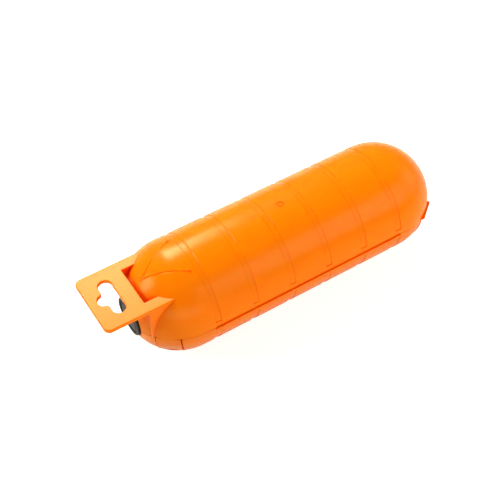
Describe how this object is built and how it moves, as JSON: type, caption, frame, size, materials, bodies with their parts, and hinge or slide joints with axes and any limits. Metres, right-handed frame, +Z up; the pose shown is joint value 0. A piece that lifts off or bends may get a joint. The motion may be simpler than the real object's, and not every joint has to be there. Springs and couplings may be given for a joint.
{
  "type": "weatherproof cable connection capsule",
  "caption": "Hinged two-shell plastic capsule with domed ends, rubber end seals and a hang tab, which keeps a plug-and-socket connection of an extension lead dry.",
  "frame": {"origin": "middle of the flat strip under the lower shell that the capsule rests on", "axes": "+Z up, +X along the capsule away from the hang tab, +Y towards the hinge at the back"},
  "size_m": [0.2688, 0.0893, 0.0795],
  "materials": {
    "shell_plastic": "satin moulded plastic",
    "seal_rubber": "matte moulded rubber",
    "bush_rubber": "matte moulded rubber",
    "pin_steel": "drawn steel"
  },
  "bodies": {
    "base": {"lower_shell": "shell_plastic", "front_seal_strip": "seal_rubber", "back_seal_strip": "seal_rubber", "near_bush_lower": "bush_rubber", "far_bush_lower": "bush_rubber", "near_hinge_pin": "pin_steel", "far_hinge_pin": "pin_steel"},
    "lid": {"upper_shell": "shell_plastic", "near_bush_upper": "bush_rubber", "far_bush_upper": "bush_rubber"},
    "near_latch": {"near_latch_tongue": "shell_plastic"},
    "far_latch": {"far_latch_tongue": "shell_plastic"}
  },
  "joints": [
    {"name": "lid_hinge", "type": "hinge", "parent": "base", "child": "lid", "pos_m": [0, 0.0444, 0.03914], "axis": [-1, 0, 0], "range_deg": [0, 170]},
    {"name": "near_latch_flex", "type": "hinge", "parent": "base", "child": "near_latch", "pos_m": [-0.10424, -0.02604, 0.01974], "axis": [-0.7749, 0.632, 0], "range_deg": [0, 2.5], "stiffness_Nm_per_rad": 1.5},
    {"name": "far_latch_flex", "type": "hinge", "parent": "base", "child": "far_latch", "pos_m": [0.10424, -0.02604, 0.01974], "axis": [-0.7749, -0.632, 0], "range_deg": [0, 2.5], "stiffness_Nm_per_rad": 1.5}
  ]
}
